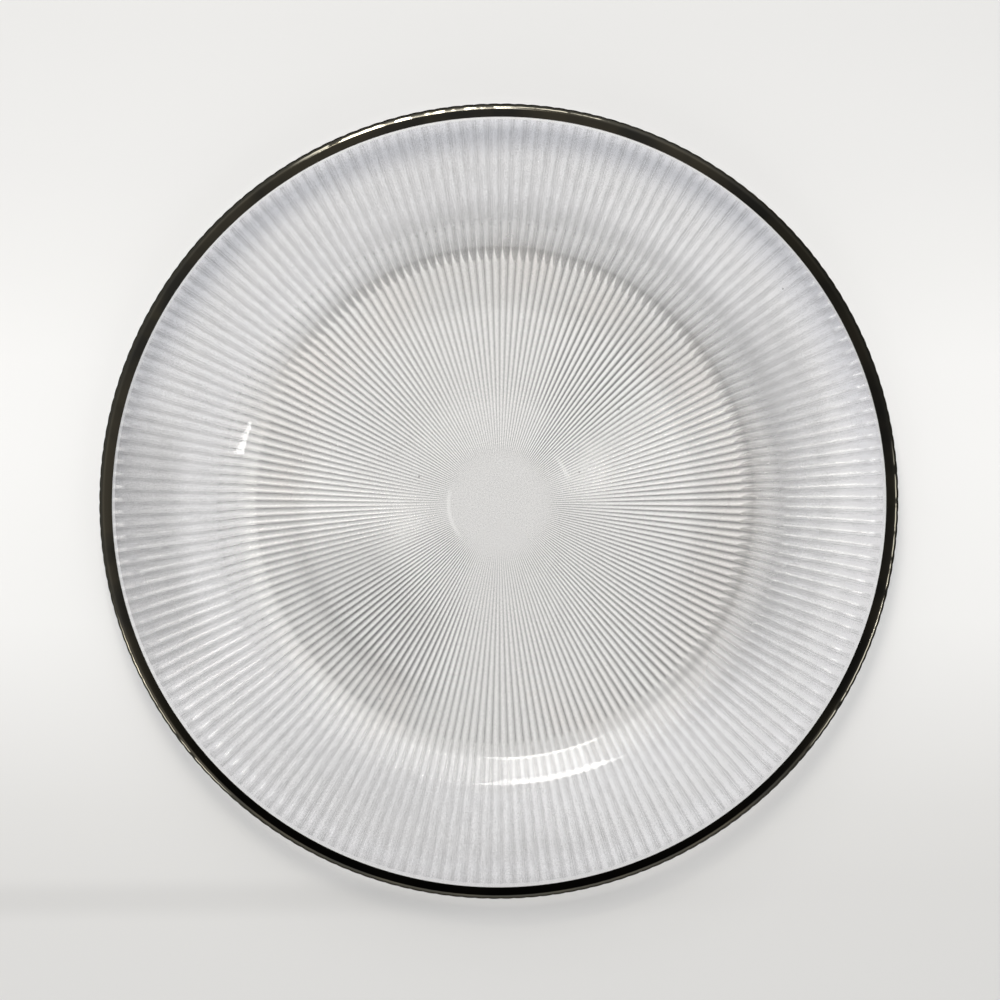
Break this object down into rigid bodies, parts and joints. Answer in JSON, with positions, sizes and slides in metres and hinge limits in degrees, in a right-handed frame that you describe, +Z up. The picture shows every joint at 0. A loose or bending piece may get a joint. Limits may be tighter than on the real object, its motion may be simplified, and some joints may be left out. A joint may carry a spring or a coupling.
{
  "type": "charger plate",
  "caption": "Round charger plate of clear pressed glass with fine ribs fanning out on its underside and a dark metal band fired over the rim.",
  "frame": {"origin": "on the table under the middle of the plate, at the middle of the underside's plain disc", "axes": "+Z straight up out of the well, the plate's own axis; +X and +Y lie in the table plane, with a rib crest on +X"},
  "size_m": [0.33, 0.33, 0.019],
  "materials": {
    "clear_glass": "clear pressed glass, fire-polished smooth on top and ribbed underneath",
    "dark_lustre": "polished metal lustre fired on the glass, near black with an olive cast"
  },
  "bodies": {
    "root": {"glass_plate": "clear_glass", "rim_band": "dark_lustre"}
  },
  "joints": []
}
